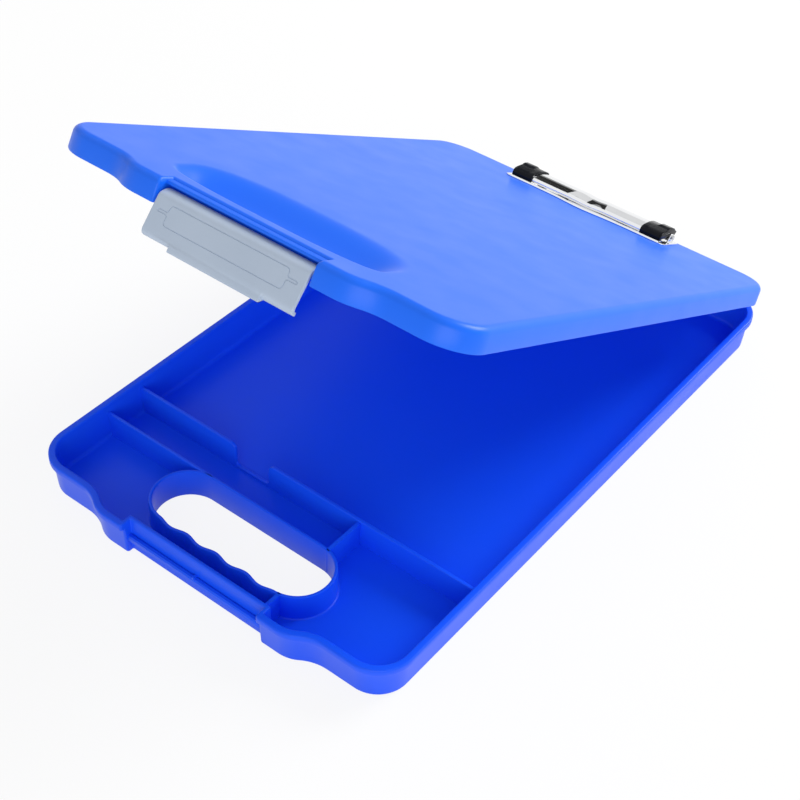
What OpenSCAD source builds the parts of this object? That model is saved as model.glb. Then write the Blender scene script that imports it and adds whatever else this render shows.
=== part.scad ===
// Storage clipboard box: a shallow moulded tray with compartments and a handle hole, a hinged lid
// that is the writing board, a pull latch on the lid's front and a sprung steel paper clip on its top.
// Frame: X to the right, Y towards the hinge, Z up. The origin is the middle of the tray's underside.
// Everything on the lid is drawn with the lid shut, then swung up about the hinge by lid_angle.

/* [Box] */
// Width over the rims
box_w = 251; // [230:1:300]
// Length over the rims, front to hinge
box_l = 392; // [380:1:440]
// Height of the tray up to its rim
tray_h = 24; // [22:0.5:36]
// Height of the lid above the rim
lid_h = 13; // [12.5:0.5:18]
// Radius of the four corners in plan
corner_r = 22; // [14:0.5:34]
// How far the front corners stand back behind the middle of the front
front_step = 8; // [5:0.5:11]
// Half the width of the front's flat middle
front_flat = 60; // [57:0.5:64]
// Width of the curve from the flat middle to the set back corner
front_curve = 26; // [22:0.5:30]
// Wall thickness of both mouldings
wall = 2.2; // [1.8:0.1:2.6]
// Thickness of the tray's floor
floor_t = 2; // [1.6:0.1:3]
// How far the rim stands out from the tray's wall
rim_lip = 2; // [1.2:0.1:2.6]
// Height of the rim's outer band
rim_band = 4.5; // [3:0.1:6]
// How much each tray wall leans in towards the floor
draft = 1.2; // [0.4:0.1:2]
// Gap between the shut lid and the rim
lid_gap = 0.3; // [0.2:0.05:0.6]

/* [Compartments] */
// Height of the wall in front of the papers
divider_h = 19.5; // [16:0.5:21]
// Thickness of the inner walls
divider_t = 2.2; // [1.6:0.1:3]
// Clear length behind the wall in front of the papers
paper_l = 298; // [285:1:300]
// Clear width of the pen compartment
pen_w = 24.5; // [18:0.5:28]
// Height of the pen compartment's front wall and of the low cross walls
pen_wall_h = 18.5; // [15:0.5:20]
// Width of the finger gap in the wall in front of the papers
gap_w = 25; // [18:1:36]
// Middle of the finger gap, from the box's middle
gap_x = -34; // [-60:1:-20]
// Place of the two cross walls, from the box's middle
cross_x = 44; // [36:1:46]

/* [Handle] */
// Length of the handle hole
handle_l = 118; // [100:1:126]
// Width of the handle hole
handle_w = 38; // [32:1:40]
// Thickness of the wall round the handle hole
collar_t = 2; // [1.6:0.1:3]
// Spacing of the finger waves
finger_pitch = 21; // [18:0.5:23]
// Depth of the finger waves
finger_wave = 2; // [1:0.1:3]
// Length of the thumb hollow in the lid
scoop_l = 134; // [110:1:140]
// Width of the thumb hollow in the lid
scoop_w = 53; // [42:1:60]
// Depth of the thumb hollow in the lid
scoop_d = 8.6; // [6:0.2:9]

/* [Latch] */
// Length of the latch
latch_l = 93; // [80:1:102]
// Thickness of the latch shell
latch_t = 2; // [1.6:0.1:2.4]
// Width of the straight pull tab in the middle
pull_w = 56; // [40:1:66]
// Gap between each end of the latch and the lid
latch_gap = 1.2; // [0.6:0.1:2]
// How far the latch hangs below the lid's top
latch_drop = 29.5; // [28:0.25:30]
// Radius of the latch's hinge barrel
latch_barrel_r = 2.3; // [2:0.05:2.6]
// Radius of the stub pins on the barrel's ends
latch_pin_r = 1.2; // [0.9:0.05:1.4]
// How far the hook reaches under the tray's lip
hook_grip = 1.8; // [1.2:0.1:2]
// Angle at which the latch hangs free of the lip
latch_angle = 16; // [7:0.5:24]

/* [Lid hinge] */
// Angle at which the lid stands open
lid_angle = 27.7; // [20:0.1:60]
// Height of the hinge's axis above the tray's rim
hinge_rise = 7; // [6:0.25:8]
// Radius of the hinge knuckles
knuckle_r = 3.2; // [2.8:0.1:4]
// Length of one knuckle
knuckle_l = 12; // [9:0.5:16]
// Gap beside each knuckle
knuckle_gap = 0.3; // [0.2:0.05:0.5]
// Radius of the steel hinge pins
hinge_pin_r = 1.25; // [1:0.05:1.6]
// Distance of each hinge from the box's middle
hinge_x = 78; // [55:1:90]
// Clearance of every pin in its bore
pin_play = 0.05; // [0.03:0.01:0.1]

/* [Clip] */
// Width of the clip's base plate
clip_w = 121; // [110:1:140]
// Depth of the base plate, front to back
plate_d = 25; // [24:0.5:30]
// Thickness of the base plate and arm
clip_t = 1; // [0.8:0.05:1.1]
// Distance from the lid's back edge to the clip's rod
rod_back = 17; // [16:0.5:24]
// Height of the rod above the lid
rod_h = 4.2; // [4:0.1:6]
// Radius of the rod
rod_r = 1.1; // [0.9:0.05:1.2]
// Length of each black end cap
cap_l = 15; // [12:0.5:22]
// Thickness of the end caps
cap_t = 1.1; // [0.8:0.1:1.4]
// Radius of the rivets that hold the clip
rivet_r = 2; // [1.5:0.1:2.4]
// Distance of each rivet from the middle
rivet_x = 36; // [34:1:46]
// Wire thickness of the springs
wire_d = 0.7; // [0.6:0.05:0.8]
// Turns of each spring
spring_turns = 6; // [4:1:7]

/* [Hidden] */
$fn = 48;
eps = 0.01;

blue = [0.1, 0.28, 0.95];
lid_blue = [0.22, 0.45, 0.98];
latch_grey = [0.66, 0.7, 0.77];
chrome = [0.82, 0.84, 0.86];
black = [0.05, 0.05, 0.06];
steel = [0.6, 0.62, 0.65];

// Plan of the box
half_w = box_w / 2;
front_y = -box_l / 2;
back_y = box_l / 2;
curve_angle = 2 * atan(front_step / front_curve);
curve_r = front_curve / sin(curve_angle) / 2;
curve_steps = 5;
corner_steps = 10;

// Heights with the lid shut
lid_bottom = tray_h + lid_gap;
lid_top = tray_h + lid_h;
inner_inset = rim_lip + wall;
floor_inset = inner_inset + draft;

// Inner walls
divider_y = back_y - inner_inset - paper_l - divider_t / 2;
pen_wall_y = divider_y - divider_t / 2 - pen_w - collar_t / 2;
collar_r = handle_w / 2 + collar_t;
handle_y = pen_wall_y + collar_t / 2 - collar_r;
handle_reach = handle_l / 2 - handle_w / 2;

// Latch: places are measured back from the front of the box and down from the lid's top
recess_half = latch_l / 2 + latch_gap;
latch_face = 1.5;
pivot_back = 7.5;
pivot_y = front_y + pivot_back;
pivot_z = lid_top - 6.7;
stub_reach = 1.4;
lip_back = latch_face + latch_t + 0.5;
hook_tip = lip_back + hook_grip;
hook_gap = 0.5;
lip_bottom = lid_top - latch_drop + latch_t + hook_gap;
lip_top = lip_bottom + 3.2;
recess_wall_back = hook_tip + 0.9;
lid_wall_back = pivot_back + latch_barrel_r + 0.35;
lid_step = 1.2;
ledge_front = pivot_back - 1.2;
ledge_t = 1.6;
scoop_front = 18.5;

// Lid hinge
hinge_y = back_y + knuckle_r + 1.2;
hinge_z = tray_h + hinge_rise;
knuckle_web = 7;
pin_end = 1;

// Clip
rod_y = back_y - rod_back;
rod_z = lid_top + rod_h;
plate_behind = 9;
plate_front = rod_y - plate_d + plate_behind;
plate_bulge = 4;
ear_x = clip_w / 2 - 3;
arm_x = ear_x - 2.2;
rivet_before = 7.2;
rivet_y = rod_y - rivet_before;
spring_x = 23;
coil_r = 1.8;
dent_d = 0.45;
dent_r = 160;
coil_pitch = wire_d + 0.55;

// One arc of points
function arc(cx, cy, r, from, to, steps, first = 0) =
    [for (i = [first : steps]) let (a = from + (to - from) * i / steps) [cx + r * cos(a), cy + r * sin(a)]];

// Right half of the plan, front to back, moved in by t all round
function half_plan(t) =
    let (c1 = [front_flat, front_y + curve_r],
         c2 = c1 + 2 * curve_r * [sin(curve_angle), -cos(curve_angle)],
         cx = half_w - corner_r)
    concat(arc(c1[0], c1[1], curve_r - t, -90, curve_angle - 90, curve_steps),
           arc(c2[0], c2[1], curve_r + t, curve_angle + 90, 90, curve_steps, 1),
           arc(cx, front_y + front_step + corner_r, corner_r - t, -90, 0, corner_steps),
           arc(cx, back_y - corner_r, corner_r - t, 0, 90, corner_steps));

function plan(t) =
    let (h = half_plan(t), n = len(h))
    concat(h, [for (i = [n - 1 : -1 : 0]) [-h[i][0], h[i][1]]]);

// A closed skin through rings of equal point counts, capped at both ends. Each cap fans out from the
// ring's point number start, which has to see the whole of the ring.
module skin(rings, start = 0) {
    n = len(rings[0]);
    m = len(rings);
    points = [for (r = rings) each r];
    first_cap = [for (i = [0 : n - 1]) (i + start) % n];
    last_cap = [for (i = [n : -1 : 1]) (m - 1) * n + (i + start) % n];
    sides = [for (k = [0 : m - 2]) for (i = [0 : n - 1])
             let (j = (i + 1) % n, a = k * n, b = a + n)
             each [[a + i, b + i, b + j], [a + i, b + j, a + j]]];
    polyhedron(points, concat([first_cap], sides, [last_cap]), convexity = 8);
}

// The box's plan followed through a list of [inset, height] steps
module plan_skin(steps) {
    skin([for (s = steps) [for (p = plan(s[0])) [p[0], p[1], s[1]]]], len(plan(0)) / 2);
}

// A profile drawn in [y, z] and run along X from x0 to x1
module along_x(x0, x1) {
    translate([x0, 0, 0]) rotate([90, 0, 90]) linear_extrude(x1 - x0) children();
}

module rod(x0, x1, y, z, r) {
    translate([x0, y, z]) rotate([0, 90, 0]) cylinder(h = x1 - x0, r = r);
}

// Swing about an axis along X by an angle that lifts what is in front of it
module swing(y, z, angle) {
    translate([0, y, z]) rotate([-angle, 0, 0]) translate([0, -y, -z]) children();
}

module on_lid() {
    swing(hinge_y, hinge_z, lid_angle) children();
}

// Plan of the handle hole, moved out by g, with waves for four fingers on its front edge
module handle_plan(g) {
    r = handle_w / 2 + g;
    waves = 2 * finger_pitch;
    step = finger_pitch / 7;
    translate([0, handle_y]) {
        hull() for (s = [-1, 1]) translate([s * handle_reach, 0]) circle(r);
        polygon(concat([for (x = [-waves : step : waves])
                        [x, -r - finger_wave / 2 * (1 + cos(180 + 360 * x / finger_pitch))]],
                       [[waves, 0], [-waves, 0]]));
    }
}

// Moulded tray
tray_skin = [[rim_lip + draft + 2, 0], [rim_lip + draft + 0.7, 0.5], [rim_lip + draft, 1.8],
             [rim_lip + 0.1, tray_h - rim_band], [0.4, tray_h - rim_band], [0, tray_h - rim_band + 0.4],
             [0, tray_h - 0.9], [0.3, tray_h - 0.25], [0.9, tray_h], [inner_inset - 0.8, tray_h],
             [inner_inset - 0.2, tray_h - 0.3], [inner_inset, tray_h - 0.9], [floor_inset, floor_t + 2],
             [floor_inset + 0.6, floor_t + 0.6], [floor_inset + 2, floor_t]];

// Set back front wall with the lip that the latch hooks under
module recess_wall_plan() {
    back = recess_wall_back + wall;
    translate([front_y, 0])
        polygon([[recess_wall_back + draft / 2, 0], [recess_wall_back, lip_bottom], [lip_back, lip_bottom],
                 [lip_back, lip_top - 0.8], [lip_back + 0.8, lip_top], [recess_wall_back - 0.3, lip_top],
                 [recess_wall_back - 0.3, lip_top - 0.8], [recess_wall_back + 0.4, lip_top - 0.8],
                 [back - 1.4, tray_h - 0.6], [back - 0.8, tray_h], [back + 0.5, tray_h], [back + 1, tray_h - 0.6],
                 [back + 1, 0.6], [back + 1, 0]]);
}

// Side of the tray's latch recess, kept just inside the moulding's outer skin
module recess_side_plan() {
    inset = rim_lip + draft;
    translate([front_y, 0])
        polygon([[inset + 0.8, 0.8], [inset, 2.4], [rim_lip + 0.3, tray_h - rim_band + 0.3],
                 [0.6, tray_h - rim_band + 0.7], [0.4, tray_h - 1], [1.1, tray_h],
                 [recess_wall_back + wall, tray_h], [recess_wall_back + wall, 0.8]]);
}

module tray_knuckle_plan() {
    foot = tray_h - rim_band - knuckle_web;
    wall_y = back_y - rim_lip - 1;
    translate([hinge_y, hinge_z]) circle(knuckle_r);
    polygon([[wall_y, foot], [wall_y, tray_h - 0.5], [back_y + 0.5, tray_h - 0.5], [back_y + 1.2, tray_h + 0.6],
             [hinge_y - knuckle_r * cos(20), hinge_z + knuckle_r * sin(-20)],
             [hinge_y + knuckle_r * cos(20), hinge_z + knuckle_r * sin(-20)],
             [back_y + 2.6, tray_h - rim_band - 1], [wall_y + 1.5, foot]]);
}

module base_tray() {
    color(blue) difference() {
        union() {
            difference() {
                plan_skin(tray_skin);
                translate([-recess_half, front_y - 1, -1])
                    cube([2 * recess_half, recess_wall_back + wall + 1.5, tray_h + 2]);
            }
            // front wall and sides of the latch recess
            along_x(-recess_half - 0.5, recess_half + 0.5) recess_wall_plan();
            for (s = [-1, 1])
                along_x(s * recess_half + (s < 0 ? -wall : 0), s * recess_half + (s < 0 ? 0 : wall))
                    recess_side_plan();
            // stiffening rib in the groove above the lip
            translate([-0.8, front_y + lip_back + 0.4, lip_top - 1]) cube([1.6, 3.6, 2]);
            // wall in front of the papers, with the finger gap
            translate([0, divider_y + divider_t / 2, 0]) rotate([90, 0, 0])
                linear_extrude(divider_t) difference() {
                    translate([-half_w + inner_inset - 0.4, floor_t - 1])
                        square([box_w - 2 * inner_inset + 0.8, divider_h - floor_t + 1]);
                    translate([gap_x, 0]) finger_gap_plan();
                }
            // pen compartment's front wall, the collar round the handle hole and two cross walls
            translate([-half_w + inner_inset - 0.4, pen_wall_y - collar_t / 2, floor_t - 1])
                cube([half_w - inner_inset + 0.4 - handle_reach, collar_t, pen_wall_h - floor_t + 1]);
            linear_extrude(pen_wall_h) handle_plan(collar_t);
            translate([cross_x - collar_t / 2, pen_wall_y - 2, floor_t - 1])
                cube([collar_t, divider_y - pen_wall_y + 2, pen_wall_h - floor_t + 1]);
            translate([cross_x - collar_t / 2, front_y + recess_wall_back + wall, floor_t - 1])
                cube([collar_t, handle_y - front_y - recess_wall_back - wall - collar_r + 2,
                      pen_wall_h - floor_t + 1]);
            // hinge knuckles
            for (h = [-1, 1]) for (s = [-1, 1])
                translate([h * hinge_x + s * knuckle_l, 0, 0])
                    along_x(-knuckle_l / 2, knuckle_l / 2) tray_knuckle_plan();
        }
        translate([0, 0, -1]) linear_extrude(tray_h + 2) handle_plan(0);
        for (h = [-1, 1])
            rod(h * (hinge_x + pin_end) - knuckle_l * 1.5, h * (hinge_x + pin_end) + knuckle_l * 1.5,
                hinge_y, hinge_z, hinge_pin_r + pin_play);
    }
}

// Finger gap: straight sides, rounded where they meet the wall's top
module finger_gap_plan() {
    r = 4;
    base = floor_t + 2;
    translate([-gap_w / 2, base]) square([gap_w, divider_h]);
    for (s = [-1, 1]) difference() {
        translate([s > 0 ? gap_w / 2 - eps : -gap_w / 2 - r, divider_h - r]) square([r + eps, r + 1]);
        translate([s * (gap_w / 2 + r), divider_h - r]) circle(r);
    }
}

// Moulded lid, drawn shut
lid_skin = [[wall + 3, lid_top - wall], [wall + 1.3, lid_top - wall - 0.5], [wall + 0.6, lid_top - wall - 2],
            [wall, lid_bottom + 0.3], [wall - 0.3, lid_bottom], [0.5, lid_bottom], [0.1, lid_bottom + 0.3],
            [0, lid_bottom + 0.9], [0.4, lid_top - 3.8], [0.8, lid_top - 2.3], [1.7, lid_top - 1],
            [3, lid_top - 0.25], [4.4, lid_top]];

// One ring of the thumb hollow at a share u of its depth, moved out by g all round
function scoop_ring(u, g, z) =
    let (front = scoop_front + u * 3 - g,
         back = scoop_front + scoop_w * (1 - 0.6 * u) + g,
         side = scoop_l / 2 - u * 18 + g,
         middle = front + (back - front) * 0.4)
    [for (i = [0 : 35]) let (a = i * 10, c = cos(a), s = sin(a),
         x = side * sign(c) * pow(abs(c), 0.72),
         y = s < 0 ? middle - (middle - front) * pow(-s, 0.5) : middle + (back - middle) * pow(s, 0.75))
     [x, front_y + y, z]];

module thumb_hollow(g, extra) {
    skin([for (u = [1, 0.8, 0.62, 0.45, 0.28, 0.12])
              scoop_ring(u, g, lid_top - extra - scoop_d * u * u * (3 - 2 * u)),
          scoop_ring(0, g, lid_top - extra), scoop_ring(0, g, lid_top + 1)]);
}

module lid_side_plan() {
    translate([front_y, lid_top])
        polygon([[1.2, lid_bottom - lid_top + 0.1], [1.2, -4.6], [1.8, -2.6], [3.6, -lid_step],
                 [lid_wall_back + wall, -lid_step], [lid_wall_back + wall, lid_bottom - lid_top + 0.1]]);
}

module lid_knuckle_plan() {
    translate([hinge_y, hinge_z]) circle(knuckle_r);
    polygon([[back_y - 1.4, hinge_z - knuckle_r + 0.4], [back_y - 1.4, hinge_z + 1.2],
             [back_y + 0.2, hinge_z + knuckle_r - 0.6], [hinge_y - 0.6, hinge_z + knuckle_r - 0.06],
             [hinge_y - 0.6, hinge_z - knuckle_r + 0.06]]);
}

// Ledge over the latch's barrel
module lid_ledge_plan() {
    top = lid_top - lid_step;
    translate([front_y, 0])
        polygon([[ledge_front, top - ledge_t], [ledge_front, top - 0.8], [ledge_front + 0.8, top],
                 [lid_wall_back + wall, top], [lid_wall_back + wall, top - ledge_t]]);
}

module lid() {
    color(lid_blue) on_lid() difference() {
        union() {
            difference() {
                plan_skin(lid_skin);
                translate([-recess_half, front_y - 1, lid_bottom - 1])
                    cube([2 * recess_half, lid_wall_back + 1.8, lid_h + 2]);
            }
            // wall and ledge behind the latch, and the two ends of its recess
            translate([-recess_half - 0.5, front_y + lid_wall_back, lid_bottom + 0.1])
                cube([2 * recess_half + 1, wall, lid_top - lid_step - lid_bottom - 0.5]);
            along_x(-recess_half - 0.5, recess_half + 0.5) lid_ledge_plan();
            for (s = [-1, 1])
                along_x(s * recess_half + (s < 0 ? -wall : 0), s * recess_half + (s < 0 ? 0 : wall))
                    lid_side_plan();
            intersection() {
                thumb_hollow(wall, wall - 0.2);
                translate([-half_w + 5, front_y + lid_wall_back, lid_bottom])
                    cube([box_w - 10, box_l / 2, lid_h - 1]);
            }
            for (h = [-1, 1])
                along_x(h * hinge_x - knuckle_l / 2 + knuckle_gap, h * hinge_x + knuckle_l / 2 - knuckle_gap)
                    lid_knuckle_plan();
        }
        thumb_hollow(0, 0);
        for (h = [-1, 1])
            rod(h * hinge_x - knuckle_l, h * hinge_x + knuckle_l, hinge_y, hinge_z, hinge_pin_r + pin_play);
        rod(-recess_half - stub_reach - 0.2, recess_half + stub_reach + 0.2, pivot_y, pivot_z,
            latch_pin_r + pin_play);
        for (s = [-1, 1])
            translate([s * rivet_x, rivet_y, lid_top - wall - 3]) cylinder(h = wall + 4, r = rivet_r + pin_play);
    }
}

// Shell of the latch in section: barrel, sloping top, broad face and a curled lower edge
module latch_section(hooked) {
    t = latch_t;
    face = front_y + latch_face;
    top = lid_top - 8;
    low = lid_top - latch_drop;
    tip = front_y + hook_tip;
    shut_gap = lip_bottom - hook_gap;
    translate([pivot_y, pivot_z]) circle(latch_barrel_r);
    polygon([[pivot_y, pivot_z + latch_barrel_r], [face + 2.2, top + 1.3], [face + 0.8, top + 0.4],
             [face, top - 1.2], [face - 0.3, (top + low) / 2], [face, low + 4],
             if (hooked) each [[face + 0.5, low + 1.9], [face + 1.7, low + 0.5], [face + 3.2, low],
                               [tip, low], [tip, shut_gap - 0.4], [tip - 0.5, shut_gap],
                               [face + t + 1, shut_gap], [face + t + 0.2, shut_gap + 0.8]],
             if (!hooked) each [[face + 0.1, low - 1.4], [face + 0.6, low - 2], [face + t - 0.4, low - 2],
                                [face + t + 0.1, low - 1.4], [face + t + 0.1, low + 4]],
             [face + t - 0.3, (top + low) / 2], [face + t, top - 1.8], [face + t + 0.9, top - 1],
             [pivot_y, pivot_z + latch_barrel_r - t]]);
}

module latch() {
    half = latch_l / 2;
    color(latch_grey) on_lid() swing(pivot_y, pivot_z, latch_angle) {
        along_x(-half, -pull_w / 2) latch_section(true);
        along_x(-pull_w / 2, pull_w / 2) latch_section(false);
        along_x(pull_w / 2, half) latch_section(true);
        rod(-recess_half - stub_reach, recess_half + stub_reach, pivot_y, pivot_z, latch_pin_r);
    }
}

// Lid hinge pins, slid in from the outer ends of the knuckles
module hinge_pin(side) {
    inner = hinge_x - knuckle_l * 1.5 + pin_end + 0.2;
    outer = hinge_x + knuckle_l * 1.5 - 0.2;
    color(steel) rod(min(side * inner, side * outer), max(side * inner, side * outer), hinge_y, hinge_z,
                     hinge_pin_r);
}

// Clip: sprung steel plate with an upturned ear at each end
module ear_plan() {
    translate([rod_y, rod_z]) circle(2.4);
    polygon([[rod_y - 4.5, lid_top + 0.2], [rod_y - 2.2, rod_z + 0.9], [rod_y + 2.2, rod_z + 0.9],
             [rod_y + 4.5, lid_top + 0.2]]);
}

// Half of the plate's front edge, from the end to the middle, which bulges forward
function plate_edge(side) =
    [for (k = [[1, 2], [0.98, 0.4], [0.95, 0], [0.5, -0.4], [0.25, -plate_bulge * 0.7], [0.08, -plate_bulge]])
     [side * k[0] * clip_w / 2, plate_front + k[1]]];

module plate_plan() {
    right = plate_edge(1);
    left = plate_edge(-1);
    back = plate_front + plate_d;
    polygon(concat(left, [for (i = [len(right) - 1 : -1 : 0]) right[i]],
                   [[clip_w / 2, back - 3], [clip_w / 2 - 3, back], [3 - clip_w / 2, back], [-clip_w / 2, back - 3]]));
}

module clip_base_plate() {
    color(chrome) on_lid() difference() {
        union() {
            translate([0, 0, lid_top]) linear_extrude(clip_t) plate_plan();
            // turned up front edge that the papers lie against
            translate([0, 0, lid_top]) linear_extrude(clip_t + 0.7) difference() {
                plate_plan();
                translate([0, 1.3]) plate_plan();
                for (s = [-1, 1])
                    translate([s * (clip_w / 2 + 1), plate_front + 3]) square([8, 60], center = true);
            }
            for (s = [-1, 1])
                along_x(s * ear_x - clip_t / 2, s * ear_x + clip_t / 2) ear_plan();
        }
        rod(-clip_w, clip_w, rod_y, rod_z, rod_r + pin_play);
        for (s = [-1, 1])
            translate([s * rivet_x, rivet_y, lid_top - 1]) cylinder(h = clip_t + 2, r = rivet_r + pin_play);
    }
}

module clip_hinge_rod() {
    reach = ear_x + clip_t / 2 + 0.3;
    color(steel) on_lid() {
        rod(-reach, reach, rod_y, rod_z, rod_r);
        for (s = [-1, 1])
            rod(s * (reach + 0.4) - 0.4, s * (reach + 0.4) + 0.4, rod_y, rod_z, rod_r + 0.5);
    }
}

// Section of the clip's arm above its rod, as [back, up] from the rod
arm_upper = [[-13.3, -2.3], [-13.9, -1], [-13.2, 0.7], [-11.6, 1.6], [-9, 2.3], [-6, 3], [-3, 3.45], [0, 3.6],
             [3, 3.5], [6, 3], [8, 2.3]];

// Run the section at a distance g outside its upper line
function arm_line(g) = [for (i = [0 : len(arm_upper) - 1])
    let (a = arm_upper[max(0, i - 1)], b = arm_upper[min(len(arm_upper) - 1, i + 1)],
         d = (b - a) / norm(b - a))
    arm_upper[i] + g * [-d[1], d[0]]];

module arm_plan(outer, inner) {
    line = arm_line(inner);
    n = len(line);
    translate([rod_y, rod_z])
        polygon(concat(arm_line(outer), [for (i = [n - 1 : -1 : 0]) line[i]]));
}

module clip_arm() {
    color(chrome) on_lid() difference() {
        union() {
            along_x(-arm_x, arm_x) arm_plan(0, -clip_t);
            // turned down sides that ride on the rod
            for (s = [-1, 1]) along_x(s * arm_x - (s > 0 ? clip_t : 0), s * arm_x + (s > 0 ? 0 : clip_t)) {
                translate([rod_y, rod_z]) circle(2.3);
                translate([rod_y, rod_z]) polygon([[-4.6, 2.8], [-2.3, 0], [2.3, 0], [4.6, 2.8]]);
            }
        }
        // shallow dent for the thumb
        translate([0, rod_y, rod_z + arm_upper[7][1] - dent_d + dent_r]) rotate([90, 0, 0])
            cylinder(h = 40, r = dent_r, center = true, $fn = 360);
        rod(-clip_w, clip_w, rod_y, rod_z, rod_r + pin_play);
    }
}

// Lower edge of the cap's closed end, back to front
cap_end_lower = [[6.9, 1], [5, -0.8], [2.4, -2.4], [-3, -2.4], [-7, -1.4], [-10.4, -1.6], [-12.6, -2.2]];

// Black end cap over one end of the arm
module clip_cap(side) {
    inner = side * (arm_x + 1.2 - cap_l);
    outer = side * (arm_x + 1.2);
    x0 = min(inner, outer);
    x1 = max(inner, outer);
    end0 = side > 0 ? arm_x + 0.1 : -arm_x - 1.2;
    color(black) on_lid() difference() {
        union() {
            along_x(x0, x1) arm_plan(cap_t + 0.05, 0.05);
            // solid outer end that closes the cap
            along_x(end0, end0 + 1.1) translate([rod_y, rod_z])
                polygon(concat(arm_line(cap_t + 0.05), cap_end_lower));
            // raised block at the outer end
            along_x(min(outer, outer - side * 8), max(outer, outer - side * 8))
                translate([rod_y, rod_z]) polygon([[-4.4, 4.2], [-3, 5.1], [-1.2, 5.6], [1.6, 5.6], [3.2, 5.1],
                                                   [4.4, 4], [4.4, 3.7], [0, 3.9], [-4.4, 3.6]]);
        }
        rod(-clip_w, clip_w, rod_y, rod_z, rod_r + 0.35);
    }
}

module clip_rivet(side) {
    color(chrome) on_lid() translate([side * rivet_x, rivet_y, 0]) {
        translate([0, 0, lid_top - wall - 1]) cylinder(h = wall + clip_t + 1.02, r = rivet_r);
        translate([0, 0, lid_top + clip_t]) cylinder(h = 0.7, r1 = rivet_r + 1.6, r2 = rivet_r + 0.9);
        translate([0, 0, lid_top - wall - 2]) cylinder(h = 1, r1 = rivet_r + 0.6, r2 = rivet_r + 1.2);
    }
}

module rivet_washer(side) {
    color(steel) on_lid() translate([side * rivet_x, rivet_y, lid_top - wall - 1]) difference() {
        cylinder(h = 1, r = rivet_r + 2.5);
        translate([0, 0, -1]) cylinder(h = 3, r = rivet_r + pin_play);
    }
}

// Torsion spring round the rod: one unbroken tube, a leg on the plate and a leg under the arm
coil_rings = 8;
function spring_path(side) =
    let (turns = spring_turns + 0.5, start = spring_x - turns * coil_pitch / 2, leg = 6)
    concat([[start, leg, -coil_r - 0.3], [start, leg / 2, -coil_r - 0.15]],
           [for (i = [0 : turns * coil_rings]) let (a = -90 - 360 * i / coil_rings)
            [start + coil_pitch * i / coil_rings, coil_r * cos(a), coil_r * sin(a)]],
           [[start + turns * coil_pitch, leg / 2, coil_r - 0.05], [start + turns * coil_pitch, leg, coil_r - 0.45]]);

function unit(v) = v / norm(v);

module wire(path, r) {
    n = len(path);
    skin([for (i = [0 : n - 1])
          let (d = unit(path[min(n - 1, i + 1)] - path[max(0, i - 1)]),
               u = unit(cross(d, [1, 0, 0])), v = cross(d, u))
          [for (a = [0 : 60 : 300]) path[i] + r * (cos(a) * u + sin(a) * v)]]);
}

module clip_spring(side) {
    color(steel) on_lid() translate([0, rod_y, rod_z]) mirror([side < 0 ? 1 : 0, 0, 0])
        wire(spring_path(side), wire_d / 2);
}

coil = [for (p = spring_path(1)) p];
coil_gap = min([for (i = [0 : len(coil) - 1]) for (j = [i + 4 : 1 : len(coil) - 1]) norm(coil[i] - coil[j])])
           - wire_d;
echo(str("least gap between turns of a clip spring: ", coil_gap, " mm"));

base_tray();
lid();
latch();
hinge_pin(-1);  // hinge_pin_left
hinge_pin(1);  // hinge_pin_right
clip_base_plate();
clip_arm();
clip_hinge_rod();
clip_spring(-1);  // clip_spring_left
clip_spring(1);  // clip_spring_right
clip_cap(-1);  // clip_cap_left
clip_cap(1);  // clip_cap_right
clip_rivet(-1);  // clip_rivet_left
clip_rivet(1);  // clip_rivet_right
rivet_washer(-1);  // rivet_washer_left
rivet_washer(1);  // rivet_washer_right
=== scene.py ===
# %% [markdown]
# # A storage clipboard box
# The box is two thin mouldings: a tray with compartments, and a lid that is also the writing board.
# They are joined by a steel pin hinge, held shut by a pull latch, and a sprung steel clip sits on the lid.
# The construction model gives every place and size. It is loaded first as a fixed frame, and each
# smoother piece that is made here lies exactly where the construction piece was.

# %% Load the frame
import math

import bmesh
import bpy
from mathutils import Matrix, Vector


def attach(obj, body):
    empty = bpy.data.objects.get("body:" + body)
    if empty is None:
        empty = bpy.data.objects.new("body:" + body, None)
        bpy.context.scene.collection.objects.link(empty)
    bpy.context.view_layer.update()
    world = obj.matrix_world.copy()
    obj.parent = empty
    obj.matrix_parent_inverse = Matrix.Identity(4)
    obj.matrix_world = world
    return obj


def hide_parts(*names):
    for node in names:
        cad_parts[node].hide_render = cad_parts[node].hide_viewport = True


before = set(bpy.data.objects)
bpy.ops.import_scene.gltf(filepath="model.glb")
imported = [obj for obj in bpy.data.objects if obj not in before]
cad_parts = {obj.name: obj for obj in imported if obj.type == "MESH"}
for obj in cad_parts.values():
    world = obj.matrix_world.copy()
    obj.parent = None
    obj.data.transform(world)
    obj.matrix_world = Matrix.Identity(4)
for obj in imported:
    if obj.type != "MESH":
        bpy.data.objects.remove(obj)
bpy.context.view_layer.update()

# %% [markdown]
# ## The outline both mouldings share
# Seen from above, the box is a rectangle with round corners whose front steps back at each side in
# an S-curve, with a straight notch in the middle for the latch. A moulding is that outline, repeated
# at many heights and a little further in each time. So the outline is one function of how far in it is.
# Everything is drawn in millimetres, with the front edge of the box as zero, and scaled once at the end.

# %% The outline
BOX_W, BOX_L, CORNER_R = 251.0, 392.0, 22.0
FRONT_STEP, FRONT_FLAT, FRONT_CURVE = 8.0, 60.0, 26.0
NOTCH = 47.7


def arc(x, y, radius, start, end, steps):
    angles = [math.radians(start + (end - start) * i / steps) for i in range(steps + 1)]
    return [(x + radius * math.cos(a), y + radius * math.sin(a)) for a in angles]


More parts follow.
